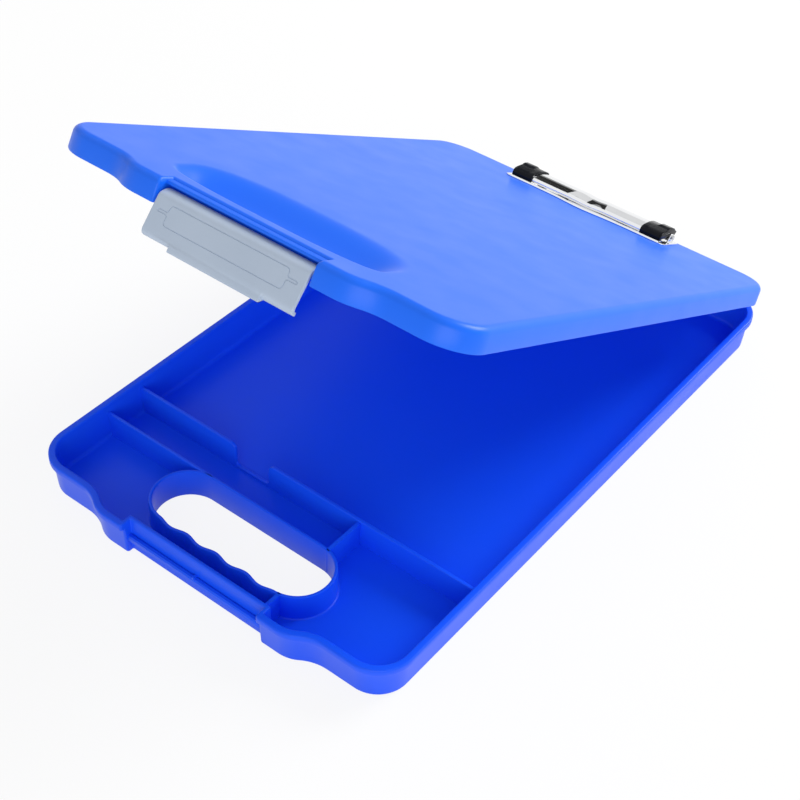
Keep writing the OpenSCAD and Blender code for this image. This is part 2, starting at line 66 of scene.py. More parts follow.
def outline(inset, notch_y, notch_x):
    turn = 2 * math.atan(FRONT_STEP / FRONT_CURVE)
    bend = FRONT_CURVE / math.sin(turn) / 2
    slope = math.degrees(turn)
    x2, y2 = FRONT_FLAT + 2 * bend * math.sin(turn), bend - 2 * bend * math.cos(turn)
    cx = BOX_W / 2 - CORNER_R
    soft = 1.3
    half = arc(notch_x - 0.8, notch_y - 0.8, 0.8, 90, 0, 4)
    half += arc(notch_x + soft, inset + soft, soft, 180, 270, 5)
    half += arc(FRONT_FLAT, bend, bend - inset, -90, slope - 90, 10)
    half += arc(x2, y2, bend + inset, slope + 90, 90, 10)[1:]
    half += arc(cx, FRONT_STEP + CORNER_R, CORNER_R - inset, -90, 0, 20)
    half += arc(cx, BOX_L - CORNER_R, CORNER_R - inset, 0, 90, 20)
    return half + [(-x, y) for x, y in reversed(half)]


print("points in the outline:", len(outline(0, 8, NOTCH)))

# %% [markdown]
# ## Rings and skins
# A ring starts as a circle, and its points are moved onto the outline. Extrude then grows a wall from its
# edges, and the new ring is moved to the next outline, and so on. Bridge Edge Loops could join
# finished rings, but it guesses how two rings face each other and can cross them where both are level.
# Where a flat face meets a rounded edge, a second ring lies just inside the first at the same height,
# so that the shading of the flat stays flat. A flat with a hole in it is filled with triangles, which a
# single many-sided face couldn't do.

# %% Rings, skins and flat fills
def ring(bm, points):
    verts = bmesh.ops.create_circle(bm, segments=len(points), radius=1)["verts"]
    verts.sort(key=lambda vert: math.atan2(vert.co.y, vert.co.x))
    for vert, point in zip(verts, points):
        vert.co = point
    return verts


def rim(bm, verts):
    return [bm.edges.get(pair) for pair in zip(verts, verts[1:] + verts[:1])]


def skin(bm, sections):
    verts = first = ring(bm, sections[0])
    for points in sections[1:]:
        grown = bmesh.ops.extrude_edge_only(bm, edges=rim(bm, verts))["geom"]
        fresh = {part for part in grown if isinstance(part, bmesh.types.BMVert)}
        verts = [next(edge.other_vert(vert) for edge in vert.link_edges if edge.other_vert(vert) in fresh)
                 for vert in verts]
        for vert, point in zip(verts, points):
            vert.co = point
    return rim(bm, first), rim(bm, verts)


def flat_fill(bm, *rings):
    bmesh.ops.triangle_fill(bm, use_beauty=True, edges=[edge for one in rings for edge in one])


# %% [markdown]
# A finished mesh is swung up about the hinge if it belongs to the lid, scaled from millimetres to metres,
# and joined to the body that carries it. The object itself could be turned instead, but its materials
# follow its own coordinates, so the mesh is turned and the object stays at the origin. Edges that turn by
# more than 38 degrees stay crisp, and all others are shaded smooth.

# %% From mesh to piece
FRONT_Y = -BOX_L / 2
HINGE = Vector((0, 200.4, 31.0))
LID_OPEN = math.radians(27.7)


def swing(bm, centre, angle):
    bmesh.ops.rotate(bm, cent=centre, matrix=Matrix.Rotation(-angle, 3, "X"), verts=bm.verts)


def make_piece(bm, name, body, opened=False):
    bmesh.ops.remove_doubles(bm, verts=bm.verts, dist=0.002)
    bmesh.ops.recalc_face_normals(bm, faces=bm.faces)
    bmesh.ops.translate(bm, vec=(0, FRONT_Y, 0), verts=bm.verts)
    if opened:
        swing(bm, HINGE, LID_OPEN)
    bmesh.ops.scale(bm, vec=(0.001, 0.001, 0.001), verts=bm.verts)
    mesh = bpy.data.meshes.new(name)
    bm.to_mesh(mesh)
    bm.free()
    mesh.shade_smooth()
    mesh.set_sharp_from_angle(angle=math.radians(38))
    piece = bpy.data.objects.new(name, mesh)
    bpy.context.scene.collection.objects.link(piece)
    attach(piece, body)
    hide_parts(name.removesuffix("_moulded").removesuffix("_pressed"))
    print(name, "faces:", len(mesh.polygons))
    return piece


# %% [markdown]
# ## The tray's shell
# The real tray is injection moulded: walls that lean in towards the floor so that it leaves its mould,
# a rounded underside edge, and a thicker band round the rim. One list of steps walks that section, from
# the underside up the outside, over the rim and down the inside: how far in, how high, and where the
# latch's notch lies at that height. It could be a solid box with a shell modifier, but then the rim
# band and the notch would not follow the real section.

# %% The tray's section
TRAY_H, BAND, FLOOR = 24.0, 4.5, 2.0
BAND_LOW = TRAY_H - BAND
under_steps = [(6.4, 0, 9.2, 1.6), (5.2, 0, 8.2, 0.9), (4.4, 0.14, 7.8, 0.5), (3.7, 0.6, 7.5, 0.2),
               (3.3, 1.2, 7.3, 0.05), (3.2, 2.0, 7.25, 0)]
band_steps = [(2.2, BAND_LOW - 0.6, 7.3, 0), (2.05, BAND_LOW - 0.2, 7.3, 0), (1.7, BAND_LOW, 7.3, 0),
              (0.5, BAND_LOW, 7.3, 0), (0.15, BAND_LOW + 0.15, 7.3, 0), (0, BAND_LOW + 0.5, 7.32, 0)]
rim_steps = [(0, TRAY_H - 1.1, 7.45, 0), (0.08, TRAY_H - 0.6, 7.55, 0.05), (0.3, TRAY_H - 0.25, 7.75, 0.15),
             (0.65, TRAY_H - 0.05, 8.0, 0.3), (1.0, TRAY_H, 8.2, 0.5), (3.2, TRAY_H, 9.2, 1.5),
             (3.7, TRAY_H - 0.08, 9.5, 1.8), (4.05, TRAY_H - 0.4, 9.8, 2.1), (4.2, TRAY_H - 0.9, 9.9, 2.2)]
floor_steps = [(5.3, FLOOR + 3.0, 9.9, 2.2), (5.45, FLOOR + 1.6, 10.0, 2.4), (5.9, FLOOR + 0.7, 10.3, 2.8),
               (6.7, FLOOR + 0.15, 10.9, 3.4), (7.7, FLOOR, 11.8, 4.2), (8.7, FLOOR, 12.6, 5.0)]
tray_steps = under_steps + band_steps + rim_steps + floor_steps

tray = bmesh.new()
tray_under, tray_floor = skin(tray, [[(x, y, height) for x, y in outline(inset, notch_y, NOTCH + past)]
                                     for inset, height, notch_y, past in tray_steps])
print("rings in the tray's section:", len(tray_steps))

# %% [markdown]
# ## The handle hole
# The hole is a long oval with a wall round it, and four shallow waves in its front edge for the fingers.
# A boolean could cut it out and a second one could add the wall, but they leave ragged edges that don't
# bevel well. So the wall is a ring chain of its own, up its inside, over its top and down to the floor. The
# floor and the underside are then each one flat fill between the shell's last ring and the hole's.

# %% The handle hole
HANDLE_Y, HANDLE_R, HANDLE_REACH, WAVE, PITCH = 42.1, 19.0, 40.0, 2.0, 21.0


def handle_outline(out):
    radius = HANDLE_R + out
    points = []
    for i in range(57):
        x = -2 * PITCH + i * 1.5
        fingers = WAVE / 2 * (1 - math.cos(math.radians(360 * x / PITCH)))
        points.append((x, HANDLE_Y - radius - fingers))
    points += arc(HANDLE_REACH, HANDLE_Y, radius, -80, 90, 28)
    points += arc(-HANDLE_REACH, HANDLE_Y, radius, 90, 260, 28)
    return points


COLLAR_TOP = 18.5
collar_steps = [
    (1.6, 0), (0.8, 0), (0.25, 0.2), (0, 0.8), (0, COLLAR_TOP - 0.8), (0.2, COLLAR_TOP - 0.25),
    (0.65, COLLAR_TOP), (1.35, COLLAR_TOP), (1.8, COLLAR_TOP - 0.25), (2, COLLAR_TOP - 0.8),
    (2, FLOOR + 1.4), (2.25, FLOOR + 0.5), (2.9, FLOOR + 0.05), (3.4, FLOOR), (4.2, FLOOR)]
hole_under, hole_floor = skin(tray, [[(x, y, height) for x, y in handle_outline(out)]
                                     for out, height in collar_steps])
flat_fill(tray, tray_under, hole_under)
flat_fill(tray, tray_floor, hole_floor)
print("open edges in the shell:", sum(1 for edge in tray.edges if not edge.is_manifold))

# %% [markdown]
# ## Flat shapes with soft edges
# The inner walls, the lip, the ledge and the clip's sheet parts are all a flat outline with a thickness. The
# outline is made a face and extruded. A Bevel modifier would round every edge of it, so the two rims
# alone are picked and bevelled, and the long sides keep the shape of the outline.

# %% Extruded shapes with soft edges
def extruded(bm, points, push, soft, segments=3):
    edges = rim(bm, ring(bm, points))
    face = bmesh.ops.contextual_create(bm, geom=edges)["faces"]
    grown = bmesh.ops.extrude_face_region(bm, geom=face, use_keep_orig=True)["geom"]
    far = [part for part in grown if isinstance(part, bmesh.types.BMVert)]
    bmesh.ops.translate(bm, vec=push, verts=far)
    if soft:
        far_rim = {edge for vert in far for edge in vert.link_edges if edge.other_vert(vert) in far}
        bmesh.ops.bevel(bm, geom=edges + [edge for edge in bm.edges if edge in far_rim], offset=soft,
                        segments=segments, profile=0.5, affect="EDGES", material=-1)


def straight_wall(bm, low, high, soft):
    (x0, y0, z0), (x1, y1, z1) = low, high
    extruded(bm, [(x0, y0, z0), (x1, y0, z0), (x1, y0, z1), (x0, y0, z1)], (0, y1 - y0, 0), soft)


# %% [markdown]
# ## The tray's inner walls
# A tall wall closes off the large compartment, with a rounded gap for a finger. A lower wall makes a narrow
# one in front of it, and two short walls close off the corner. They could be fused with the tray by a
# boolean. They are only run a little into their neighbours, which looks the same and keeps the tray's
# shading clean.

# %% The inner walls
INNER = BOX_W / 2 - 3.9
TALL_WALL_Y, LOW_WALL_Y, LOW_WALL_TOP, CROSS_X = 87.6, 61.1, 18.5, 44.0
GAP_X, GAP_HALF, GAP_R, TALL_WALL_TOP = -34.0, 12.5, 4.0, 19.5

left_lip = arc(GAP_X - GAP_HALF - GAP_R, TALL_WALL_TOP - GAP_R, GAP_R, 90, 0, 8)
right_lip = arc(GAP_X + GAP_HALF + GAP_R, TALL_WALL_TOP - GAP_R, GAP_R, 180, 90, 8)
left_foot = arc(GAP_X - GAP_HALF + 3, 4 + 3, 3, 180, 270, 6)
right_foot = arc(GAP_X + GAP_HALF - 3, 4 + 3, 3, 270, 360, 6)
tall_wall = [(-INNER, 1), (-INNER, TALL_WALL_TOP)] + left_lip + left_foot + right_foot + right_lip
tall_wall += [(INNER, TALL_WALL_TOP), (INNER, 1)]
extruded(tray, [(x, TALL_WALL_Y, z) for x, z in tall_wall], (0, 2.2, 0), 0.45)
straight_wall(tray, (-INNER, LOW_WALL_Y, 1), (-HANDLE_REACH, LOW_WALL_Y + 2, LOW_WALL_TOP), 0.5)
straight_wall(tray, (CROSS_X - 1, LOW_WALL_Y - 0.6, 1), (CROSS_X + 1, TALL_WALL_Y + 1, LOW_WALL_TOP), 0.5)
straight_wall(tray, (CROSS_X - 1, 9.4, 1), (CROSS_X + 1, 23.4, LOW_WALL_TOP), 0.5)
print("faces in the tray so far:", len(tray.faces))

# %% [markdown]
# ## The lip and the hinge knuckles of the tray
# The latch hooks under a lip on the set back front wall. The groove above that lip has one small rib.
# At the back, four knuckles stand up behind the lid. A knuckle could be a cylinder with a foot, and its hole
# a boolean. It is its side view instead, with the hole for the pin left open in it, pushed along the
# hinge's axis, so that foot and barrel run into each other as in the moulding.

# %% Lip and rib
lip = [(4.0, 10.0), (8.2, 10.0), (8.2, 12.3), (6.6, 12.4), (6.4, 13.2), (4.8, 13.2), (4.0, 12.4)]
extruded(tray, [(-NOTCH - 0.4, y, z) for y, z in lip], (2 * NOTCH + 0.8, 0, 0), 0.25, 2)
straight_wall(tray, (-0.8, 4.3, 12.0), (0.8, 8.0, 14.2), 0.25)
print("faces in the tray with its lip:", len(tray.faces))

# %% Knuckles, and the tray in place
HINGE_Y, HINGE_Z, KNUCKLE_R, KNUCKLE_L, HINGE_X = 396.4, 31.0, 3.2, 12.0, 78.0
PIN_R = 1.3


def knuckle(bm, side_view, x0, x1):
    outer = rim(bm, ring(bm, [(x0, y, z) for y, z in side_view]))
    bore = rim(bm, ring(bm, [(x0, y, z) for y, z in arc(HINGE_Y, HINGE_Z, PIN_R, 0, 345, 23)]))
    before = set(bm.faces)
    flat_fill(bm, outer, bore)
    faces = list(set(bm.faces) - before)
    grown = bmesh.ops.extrude_face_region(bm, geom=faces, use_keep_orig=True)["geom"]
    far = {part for part in grown if isinstance(part, bmesh.types.BMVert)}
    bmesh.ops.translate(bm, vec=(x1 - x0, 0, 0), verts=list(far))
    rims = set(outer + bore)
    rims |= {edge for vert in far for edge in vert.link_edges if edge.other_vert(vert) in far}
    crisp = [edge for edge in bm.edges if edge in rims and edge.is_manifold and edge.calc_face_angle() > 1.2]
    bmesh.ops.bevel(bm, geom=crisp, offset=0.3, segments=2, profile=0.5, affect="EDGES", material=-1)


tray_knuckle = [(389, 12.5), (389, 23.5), (392.5, 23.5), (393.2, 24.6)]
tray_knuckle += arc(HINGE_Y, HINGE_Z, KNUCKLE_R, 200, -20, 24)
tray_knuckle += [(394.6, 18.5), (390.5, 12.5)]
for hinge in (-1, 1):
    for end in (-1, 1):
        middle = hinge * HINGE_X + end * KNUCKLE_L
        knuckle(tray, tray_knuckle, middle - KNUCKLE_L / 2, middle + KNUCKLE_L / 2)
tray_piece = make_piece(tray, "base_tray_moulded", "tray")

# %% [markdown]
# ## The lid's shell
# The lid is a shallow moulding turned upside down: a thin wall and a top that rolls over in a soft
# quarter round. That roll is what catches the light all round the board. A bevel could make it, but not with
# the latch's notch closing in as it rises, so the roll gets ten rings of its own, where the flat
# faces get none. One chain runs up the inside's roof, down to the lower edge and up the outside.

# %% The lid's section
LID_LOW, LID_TOP = 24.3, 37.0
roll = [(4.6 - 4.25 * math.cos(math.radians(a)), 33.0 + 4.0 * math.sin(math.radians(a)))
        for a in (5, 15, 25, 35, 45, 55, 65, 75, 83, 90)]
lid_steps = [(6.4, 34.8, 14.6, 4.6), (5.2, 34.8, 13.8, 3.6), (4.2, 34.65, 13.2, 3.0), (3.4, 34.1, 12.8, 2.6),
             (2.9, 33.1, 12.5, 2.3), (2.3, 25.0, 12.35, 2.2), (2.1, 24.45, 12.2, 2.1), (1.7, 24.3, 11.9, 1.8),
             (0.7, 24.3, 10.7, 0.5), (0.25, 24.45, 10.25, 0.1), (0, 25.1, 10.15, 0)]
lid_steps += [(inset, height, 10.15 + 0.66 * max(0, inset - 0.6), 0.45 * max(0, inset - 0.6))
              for inset, height in roll]
lid_steps += [(5.6, LID_TOP, 13.6, 2.6)]

lid = bmesh.new()
lid_under, lid_upper = skin(lid, [[(x, y, height) for x, y in outline(inset, notch_y, NOTCH + past)]
                                  for inset, height, notch_y, past in lid_steps])
print("rings in the lid's section:", len(lid_steps))

# %% [markdown]
# ## The thumb hollow
# Behind the latch the board dips, so that a thumb gets under what is clipped on. Its front edge is straight
# and crisp and its back fades out softly. It could be sculpted, but then its size would hang on brush
# strokes. Here its rings are a squashed oval: each one is lower, and the back of each is further forward,
# so the two edges come out different by themselves. The same chain, a wall's thickness out, is its underside.

# %% The thumb hollow
SCOOP_FRONT, SCOOP_L, SCOOP_W, SCOOP_D = 18.5, 134.0, 53.0, 8.6


def scoop_ring(share, out, height):
    front = SCOOP_FRONT + share * 3 - out
    back = SCOOP_FRONT + SCOOP_W * (1 - 0.6 * share) + out
    side = SCOOP_L / 2 - share * 18 + out
    middle = front + (back - front) * 0.4
    points = []
    for i in range(120):
        c, s = math.cos(math.radians(3 * i)), math.sin(math.radians(3 * i))
        x = math.copysign(side * abs(c) ** 0.72, c)
        y = middle - (middle - front) * abs(s) ** 0.5 if s < 0 else middle + (back - middle) * abs(s) ** 0.75
        points.append((x, y, height))
    return points


def scoop_chain(bm, out, top, shares):
    depth = [(share, top - SCOOP_D * share * share * (3 - 2 * share)) for share in shares]
    chain = [scoop_ring(0, out + 1.2, top)]
    chain += [scoop_ring(share, out, height) for share, height in depth]
    chain += [scoop_ring(1.06, out, depth[-1][1])]
    edge_above, edge_below = skin(bm, chain)
    flat_fill(bm, edge_below)
    return edge_above


hollow_rim = scoop_chain(lid, 0, LID_TOP, [i / 22 for i in range(23)])
under_rim = scoop_chain(lid, 1.6, LID_TOP - 2.2, [i / 10 for i in range(11)])
flat_fill(lid, lid_upper, hollow_rim)
flat_fill(lid, lid_under, under_rim)
print("open edges in the lid:", sum(1 for edge in lid.edges if not edge.is_manifold))

# %% [markdown]
# ## The ledge over the latch, and the lid's two knuckles
# A low ledge runs over the latch's barrel, and one knuckle of each hinge belongs to the lid. Both are the
# tray's helpers again with other outlines, which is quicker than new shapes and keeps the hinge's
# sizes in one place. The knuckle is 0.3 mm short at each end, so that it turns between its neighbours.

# %% Ledge and knuckles
ledge = [(6.3, 34.2), (11.4, 34.2), (11.4, 35.8), (6.9, 35.8), (6.5, 35.62), (6.3, 35.2)]
extruded(lid, [(-NOTCH - 0.4, y, z) for y, z in ledge], (2 * NOTCH + 0.8, 0, 0), 0)

SLACK = 0.3
lid_knuckle = [(390.6, 28.2), (390.6, 32.2), (392.2, 33.4)]
lid_knuckle += arc(HINGE_Y, HINGE_Z, KNUCKLE_R, 100, -100, 24)
for hinge in (-1, 1):
    low_x, high_x = hinge * HINGE_X - KNUCKLE_L / 2, hinge * HINGE_X + KNUCKLE_L / 2
    knuckle(lid, lid_knuckle, low_x + SLACK, high_x - SLACK)
lid_piece = make_piece(lid, "lid_moulded", "lid", opened=True)

# %% [markdown]
# ## The latch
# The latch is one grey moulding: a barrel that turns on two stub pins, a broad face, and a lower edge
# that is a straight pull tab in the middle and a hook on either side. Three blocks joined side by side would
# leave seams in the face, so it is one section repeated across the width. The tab's section and the
# hook's have equal numbers of points, and the step between them is only two rings close together.

# %% The latch's section
PIVOT_Y, PIVOT_Z, BARREL_R = 7.5, 30.3, 2.3
FACE_Y, FACE_LOW, FACE_TOP = 1.5, 12.0, 26.8
hook = [(1.52, 10.4), (1.8, 9.4), (2.4, 8.5), (3.3, 7.85), (4.4, 7.5), (5.5, 7.5), (5.8, 7.8), (5.8, 9.1),
        (5.4, 9.5), (4.5, 9.5), (3.9, 9.9), (3.6, 10.7)]
tab = [(FACE_Y, 10.4), (FACE_Y, 9.4), (FACE_Y, 8.2), (FACE_Y, 7.0), (1.58, 6.1), (1.8, 5.65),
       (2.2, 5.5), (3.0, 5.5), (3.4, 5.7), (3.6, 6.2), (3.6, 8.0), (3.6, 10.0)]
above = [(3.5, 12.0), (3.5, 26.6), (3.75, 27.5), (4.4, 28.1)]
barrel = arc(PIVOT_Y, PIVOT_Z, BARREL_R, 215, 450, 18)
front = [(5.3, 31.75), (3.9, 30.75), (2.9, 29.95), (2.2, 29.25), (1.75, 28.5), (1.55, 27.8),
         (FACE_Y, FACE_TOP + 0.3), (FACE_Y, FACE_TOP), (FACE_Y, FACE_LOW), (FACE_Y, FACE_LOW - 0.4)]


def latch_section(x, lower):
    return [(x, y, z) for y, z in lower + above + barrel + front]


HALF, TAB_HALF, FLAT_HALF = 46.5, 28.0, 45.6
across = [(-HALF, hook), (-FLAT_HALF, hook), (-TAB_HALF - 0.35, hook), (-TAB_HALF, tab)]
across += [(-x, lower) for x, lower in reversed(across)]
latch = bmesh.new()
latch_ends = skin(latch, [latch_section(x, lower) for x, lower in across])
for end in latch_ends:
    bmesh.ops.contextual_create(latch, geom=end)
    bmesh.ops.bevel(latch, geom=end, offset=0.45, segments=3, profile=0.5, affect="EDGES",
                    material=-1)
print("faces in the latch:", len(latch.faces))

# %% [markdown]
# ## The engraved line
# A thin line is engraved round a long panel on the latch's face, with a short tongue at each end. A bump in
# the material would vanish from a shallow angle, so it is cut in the mesh. The flat face is cleared
# and filled again around the panel's outline. Then Inset is used three times on the panel: down into
# the plastic, across the bottom of the groove, and up again.

# %% The engraved panel
PANEL_TOP, PANEL_LOW, PANEL_HALF, PANEL_R = 26.0, 15.3, 36.7, 2.2
TONGUE_Z, TONGUE_REACH, TONGUE_R, EASE = 21.3, 41.9, 0.9, 0.6
GROOVE_SLOPE, GROOVE_W, GROOVE_D = 0.1, 0.3, 0.3
low_corner = arc(PANEL_HALF - PANEL_R, PANEL_LOW + PANEL_R, PANEL_R, -90, 0, 5)
top_corner = arc(PANEL_HALF - PANEL_R, PANEL_TOP - PANEL_R, PANEL_R, 0, 90, 5)
tongue = [(PANEL_HALF, TONGUE_Z - TONGUE_R - EASE), (PANEL_HALF + EASE, TONGUE_Z - TONGUE_R)]
tongue += arc(TONGUE_REACH, TONGUE_Z, TONGUE_R, -90, 90, 6)
tongue += [(PANEL_HALF + EASE, TONGUE_Z + TONGUE_R), (PANEL_HALF, TONGUE_Z + TONGUE_R + EASE)]
right_side = low_corner + tongue + top_corner
panel = right_side + [(-x, z) for x, z in reversed(right_side)]

face_front = [face for face in latch.faces
              if all(abs(vert.co.y - FACE_Y) < 0.001 and abs(vert.co.x) < FLAT_HALF + 0.1
                     and FACE_LOW - 0.1 < vert.co.z < FACE_TOP + 0.1 for vert in face.verts)]
whole = bmesh.ops.dissolve_faces(latch, faces=face_front)["region"]
border = [edge for face in whole for edge in face.edges]
bmesh.ops.delete(latch, geom=whole, context="FACES_ONLY")
print("faces on the latch's flat front:", len(whole), "edges round them:", len(border))
panel_ring = rim(latch, ring(latch, [(x, FACE_Y, z) for x, z in panel]))
flat_fill(latch, border, panel_ring)
panel_face = bmesh.ops.contextual_create(latch, geom=panel_ring)["faces"]
bmesh.ops.recalc_face_normals(latch, faces=latch.faces)
for thickness, depth in ((GROOVE_SLOPE, -GROOVE_D), (GROOVE_W, 0.0), (GROOVE_SLOPE, GROOVE_D)):
    bmesh.ops.inset_region(latch, faces=panel_face, thickness=thickness, depth=depth, use_even_offset=True)
print("open edges in the latch:", sum(1 for edge in latch.edges if not edge.is_manifold))

# %% [markdown]
# ## The latch's stub pins
# Two short pins stick out of the barrel's ends and turn in the sides of the lid. They could be more rings
# of the section, but they are round and the section isn't, so each is a small cylinder laid on its
# side. The latch hangs 16 degrees ajar, as in the photograph.

# %% Stub pins, and the latch in place
LATCH_HANG = math.radians(16)
STUB_R, STUB_L, STUB_OUT = 1.2, 3.0, 1.1
on_its_side = Matrix.Rotation(math.radians(90), 4, "Y")
for side in (-1, 1):
    where = Matrix.Translation((side * (HALF + STUB_OUT), PIVOT_Y, PIVOT_Z)) @ on_its_side
    bmesh.ops.create_cone(latch, cap_ends=True, segments=32, radius1=STUB_R, radius2=STUB_R,
                          depth=STUB_L, matrix=where)
swing(latch, (0, PIVOT_Y, PIVOT_Z), LATCH_HANG)
latch_piece = make_piece(latch, "latch_moulded", "latch", opened=True)

# %% [markdown]
# ## The clip's base plate
# The clip is pressed from bright steel sheet. Its base plate is a flat blank whose front edge bulges
# forward and is turned up for its grip, with an ear folded up at each end for the rod. A plane
# with a Solidify modifier could be folded, but the turned-up edge follows a curve. So the blank, the edge and
# the two ears are made one by one and run into each other.

# %% The base plate
ROD_Y, ROD_Z, CLIP_HALF, SHEET = 375.0, 41.2, 60.5, 1.0
PLATE_FRONT, PLATE_BACK, PLATE_R, BULGE, BULGE_REACH = 359.0, 384.0, 3.0, 4.0, 17.0
EAR_X, EAR_R, EAR_FOOT = 57.5, 2.4, 37.2
TURNED_UP = [(0, 37.3), (0.02, 38.2), (0.3, 38.62), (0.7, 38.7), (1.1, 38.5), (1.5, 37.9), (1.9, 37.6)]


def plate_edge(x):
    side = max(0.0, (abs(x) - CLIP_HALF + PLATE_R) / PLATE_R)
    return PLATE_FRONT - BULGE * math.exp(-(x / BULGE_REACH) ** 2) - 0.3 + 2.3 * side * side


plate = bmesh.new()
front_edge = [(x, plate_edge(x)) for x in [CLIP_HALF * (i / 30 - 1) for i in range(61)]]
back_corner = [(CLIP_HALF, PLATE_BACK - PLATE_R)]
back_corner += arc(CLIP_HALF - PLATE_R, PLATE_BACK - PLATE_R, PLATE_R, 20, 90, 5)
corners = back_corner + [(-x, y) for x, y in reversed(back_corner)]
extruded(plate, [(x, y, LID_TOP) for x, y in front_edge + corners], (0, 0, SHEET), 0.25, 2)
lip_sections = [[(x * 0.96, y + back, z) for back, z in TURNED_UP] for x, y in front_edge[1:-1]]
for end in skin(plate, lip_sections):
    bmesh.ops.contextual_create(plate, geom=end)

ear = [(ROD_Y - 4.5, EAR_FOOT), (ROD_Y - 2.3, 42.0)] + arc(ROD_Y, ROD_Z, EAR_R, 160, 20, 12)
ear += [(ROD_Y + 2.3, 42.0), (ROD_Y + 4.5, EAR_FOOT)]
for side in (-1, 1):
    extruded(plate, [(side * EAR_X - SHEET / 2, y, z) for y, z in ear], (SHEET, 0, 0), 0.2, 2)
plate_piece = make_piece(plate, "clip_base_plate_pressed", "lid", opened=True)

# %% [markdown]
# ## The clip's arm
# The arm is the part that is pressed down at the back to open the clip. Its section is a low arch that turns
# down at its front edge, and it has a shallow dent in the middle for the thumb. A curve object could be
# extruded, but it can't carry the dent. So a smooth curve is run through a few points of the arch,
# repeated across the width, and dropped a little where the dent is.

# %% The arm's section
ARCH = [(-13.3, -2.3), (-13.9, -1), (-13.2, 0.7), (-11.6, 1.6), (-9, 2.3), (-6, 3), (-3, 3.45), (0, 3.6),
        (3, 3.5), (6, 3), (8, 2.3)]


def through(points, steps):
    ends = [points[0]] + list(points) + [points[-1]]
    curve = []
    for a, b, c, d in zip(ends, ends[1:], ends[2:], ends[3:]):
        for i in range(steps):
            t = i / steps
            curve.append(tuple(0.5 * (2 * q + (r - p) * t + (2 * p - 5 * q + 4 * r - s) * t * t
                                      + (3 * q - p - 3 * r + s) * t ** 3) for p, q, r, s in zip(a, b, c, d)))
    return curve + [points[-1]]


def beside(line, out):
    moved = []
    for i, (y, z) in enumerate(line):
        (y0, z0), (y1, z1) = line[max(0, i - 1)], line[min(len(line) - 1, i + 1)]
        length = math.hypot(y1 - y0, z1 - z0)
        moved.append((y - out * (z1 - z0) / length, z + out * (y1 - y0) / length))
    return moved


arch = through(ARCH, 4)
print("points along the arch:", len(arch))

# %% [markdown]
# Bright metal shows every facet, so the sections stand 1 mm apart where the dent is and far apart where the
# arm is straight. The flanges at its ends are the two ears that turn on the rod.

# %% The arm
ARM_HALF = 55.3


def dent(x, y):
    reach = 15.0 - 0.32 * (y + 14)
    share = min(1.0, abs(x) / reach)
    return 0.5 * (1 - share * share) ** 2


arm = bmesh.new()
steps_across = [-ARM_HALF, -30, -20] + [-17 + i for i in range(35)] + [20, 30, ARM_HALF]
closed = arch + list(reversed(beside(arch, -SHEET)))
for end in skin(arm, [[(x, ROD_Y + y, ROD_Z + z - dent(x, y)) for y, z in closed] for x in steps_across]):
    bmesh.ops.contextual_create(arm, geom=end)
flange = [(ROD_Y - 4.6, ROD_Z + 2.7), (ROD_Y - 2.3, ROD_Z)] + arc(ROD_Y, ROD_Z, 2.3, 200, 340, 12)
flange += [(ROD_Y + 2.3, ROD_Z), (ROD_Y + 4.6, ROD_Z + 2.7)]
for side in (-1, 1):
    flange_x = side * (ARM_HALF - SHEET / 2) - SHEET / 2
    extruded(arm, [(flange_x, y, z) for y, z in flange], (SHEET, 0, 0), 0.15, 2)
arm_piece = make_piece(arm, "clip_arm_pressed", "clip_arm", opened=True)

# %% [markdown]
# ## The black end caps
# A black moulded cap slides over each end of the arm and hides the sheet's sharp corners. It follows
# the arch at a distance, is closed at its outer end, and swells into a low bump there. A Solidify
# modifier on a piece of the arm could give the sleeve but not the bump, so the arm's own arch is used once
# more: a skin between it and a line beside it, with a closing wall at the end.

# %% The caps
CAP_L, CAP_T, CAP_END, CAP_GAP = 15.0, 1.1, 1.15, 0.05


def cap_line(bump):
    line = []
    for y, z in beside(arch, CAP_T + CAP_GAP):
        rise = max(0.0, 1 - ((y - 0.2) / 5.2) ** 4)
        line.append((y, z + 0.95 * bump * rise))
    return line


def clip_cap(side, name):
    cap = bmesh.new()
    outer = ARM_HALF + CAP_GAP + CAP_END
    stations = [(CAP_L, 0), (9.2, 0), (8.6, 0.25), (8.0, 0.75), (7.4, 1), (CAP_END - CAP_GAP, 1)]
    under = [(6.9, 1), (4.8, -0.6), (2.4, -2.3), (-3, -2.4), (-7, -1.4), (-10.4, -1.6), (-12.6, -2.2)]
    inside = list(reversed(beside(arch, CAP_GAP)))
    sleeve = skin(cap, [[(side * (outer - back), ROD_Y + y, ROD_Z + z) for y, z in cap_line(bump) + inside]
                        for back, bump in stations])
    for end in sleeve:
        bmesh.ops.contextual_create(cap, geom=end)
    bmesh.ops.bevel(cap, geom=sleeve[0], offset=0.3, segments=3, profile=0.5, affect="EDGES", material=-1)
    closing = [(side * (outer - CAP_END), ROD_Y + y, ROD_Z + z) for y, z in cap_line(1) + under]
    extruded(cap, closing, (side * CAP_END, 0, 0), 0.4, 3)
    return make_piece(cap, name, "clip_arm", opened=True)


cap_left = clip_cap(-1, "clip_cap_left_moulded")
cap_right = clip_cap(1, "clip_cap_right_moulded")
